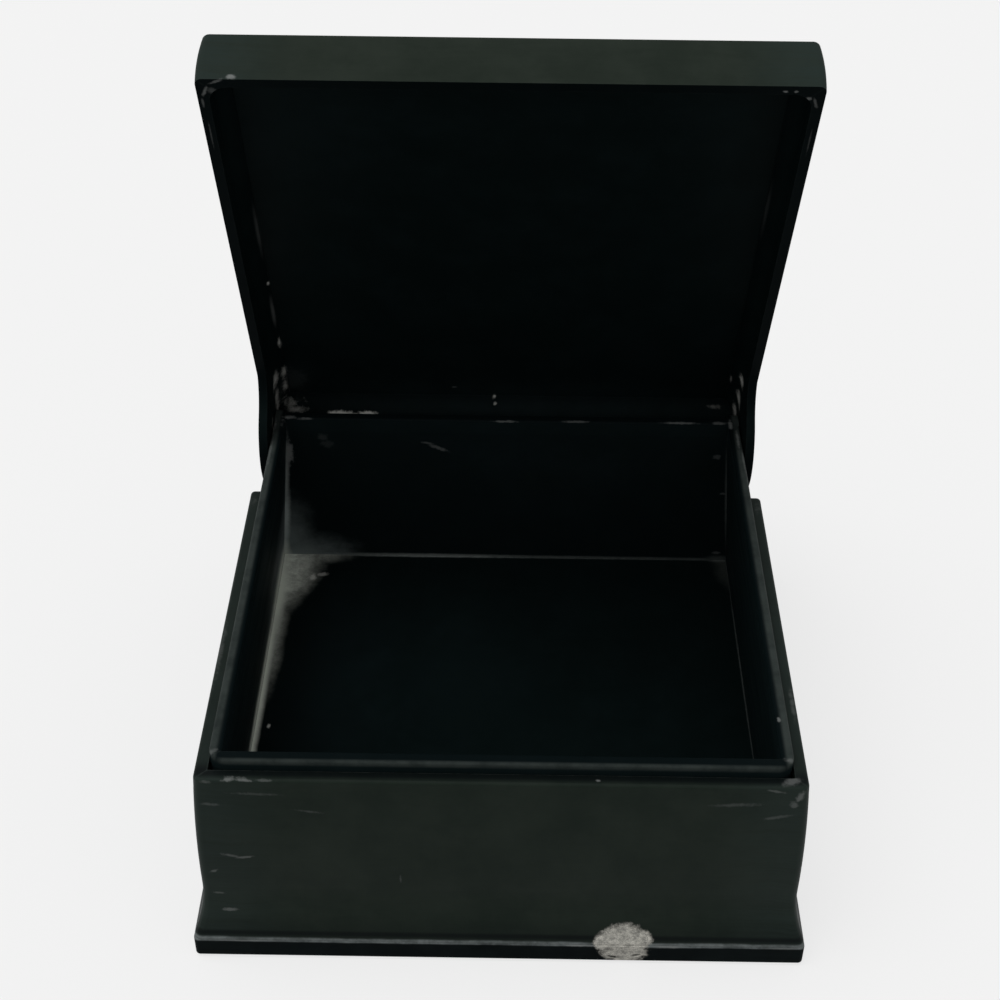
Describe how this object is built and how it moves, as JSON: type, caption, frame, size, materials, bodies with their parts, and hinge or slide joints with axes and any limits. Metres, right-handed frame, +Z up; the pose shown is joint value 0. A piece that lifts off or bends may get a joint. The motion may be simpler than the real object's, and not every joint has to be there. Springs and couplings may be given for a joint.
{
  "type": "cufflink display box",
  "caption": "Black lacquered wooden cufflink box with a lined well, a raised inner lip, a flared base and a lid that turns on hidden side pins.",
  "frame": {"origin": "middle of the underside of the case", "axes": "+Z up, +X to the right seen from the front, +Y towards the hinge at the back"},
  "size_m": [0.0962, 0.1037, 0.1245],
  "materials": {
    "outer_lacquer": "worn satin black lacquer with fine brush lines",
    "inner_lacquer": "glossier, darker black lacquer",
    "felt": "thin black felt",
    "pin_steel": "plain steel pin"
  },
  "bodies": {
    "case": {"underside_felt": "felt", "base_plate": "outer_lacquer", "floor_lining": "inner_lacquer", "shell_front": "outer_lacquer", "shell_back": "outer_lacquer", "shell_left": "outer_lacquer", "shell_right": "outer_lacquer", "liner_front": "inner_lacquer", "liner_back": "inner_lacquer", "liner_left": "inner_lacquer", "liner_right": "inner_lacquer", "pivot_pin_left": "pin_steel", "pivot_pin_right": "pin_steel"},
    "lid": {"lid_front_rail": "outer_lacquer", "lid_back_rail": "outer_lacquer", "lid_left_rail": "outer_lacquer", "lid_right_rail": "outer_lacquer", "lid_top_panel": "outer_lacquer", "lid_inner_panel": "inner_lacquer"}
  },
  "joints": [
    {"name": "lid_hinge", "type": "hinge", "parent": "case", "child": "lid", "pos_m": [0, 0.0428, 0.0376], "axis": [-1, 0, 0], "range_deg": [-68, 24]}
  ]
}
